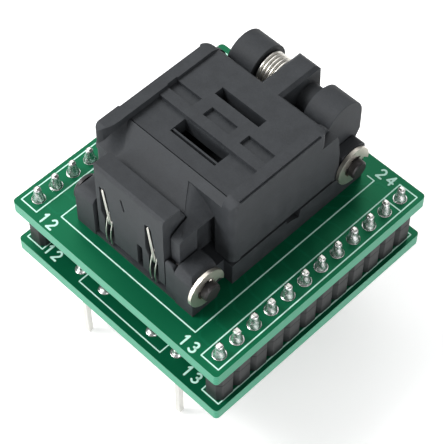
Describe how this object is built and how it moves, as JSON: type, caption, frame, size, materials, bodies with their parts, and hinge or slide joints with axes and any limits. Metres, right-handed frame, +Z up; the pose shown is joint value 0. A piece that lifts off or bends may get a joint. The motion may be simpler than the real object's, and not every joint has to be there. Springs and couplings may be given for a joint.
{
  "type": "clamshell test socket on a pin adapter",
  "caption": "Clamshell test socket for a small leadless chip, with a hinged lid and a sprung front latch, carried on a two-board adapter with dual-in-line pins.",
  "frame": {"origin": "under the centre of the boards, at the level of the long pins' tips", "axes": "+Z up, out of the boards on the socket's side; +Y towards the lid's hinge, so -Y is the latch's side; +X completes the right-handed frame and is the side of the retaining rings. One row of long pins is at -X and the other at +X"},
  "size_m": [0.0316, 0.0324, 0.0336],
  "materials": {
    "solder_mask": "green solder mask, semi-gloss",
    "strip_plastic": "moulded, matte",
    "socket_plastic": "moulded, fine-grained matte",
    "pin_metal": "tin-plated, bright",
    "solder": "reflowed solder, satin",
    "contact_metal": "gold-plated",
    "shaft_steel": "turned, bright",
    "spring_steel": "drawn wire, bright"
  },
  "bodies": {
    "adapter": {"upper_board": "solder_mask", "lower_board": "solder_mask", "upper_strips": "strip_plastic", "lower_strips": "strip_plastic", "dip_strips": "strip_plastic", "stack_pins": "pin_metal", "dip_pins": "pin_metal", "stack_solder": "solder", "stack_foot_solder": "solder", "dip_solder": "solder", "spare_caps": "solder", "socket_base": "socket_plastic", "chip_nest": "socket_plastic", "contacts_y": "contact_metal", "contacts_x": "contact_metal", "latch_pin": "shaft_steel", "bracket_pin": "shaft_steel", "retaining_rings": "shaft_steel", "hinge_bracket": "socket_plastic", "hinge_pin": "shaft_steel", "hinge_spring": "spring_steel", "latch_springs": "spring_steel"},
    "lid": {"lid": "socket_plastic", "pressure_pad": "socket_plastic"},
    "latch": {"latch": "socket_plastic"}
  },
  "joints": [
    {"name": "lid_hinge", "type": "hinge", "parent": "adapter", "child": "lid", "pos_m": [0, 0.0112, 0.0296], "axis": [-1, 0, 0], "range_deg": [0, 105], "deforming": ["hinge_spring"]},
    {"name": "latch_pivot", "type": "hinge", "parent": "adapter", "child": "latch", "pos_m": [0, -0.0111, 0.02435], "axis": [1, 0, 0], "range_deg": [0, 30], "stiffness_Nm_per_rad": 0.0005, "springref_deg": -8.59, "deforming": ["latch_springs"]}
  ]
}
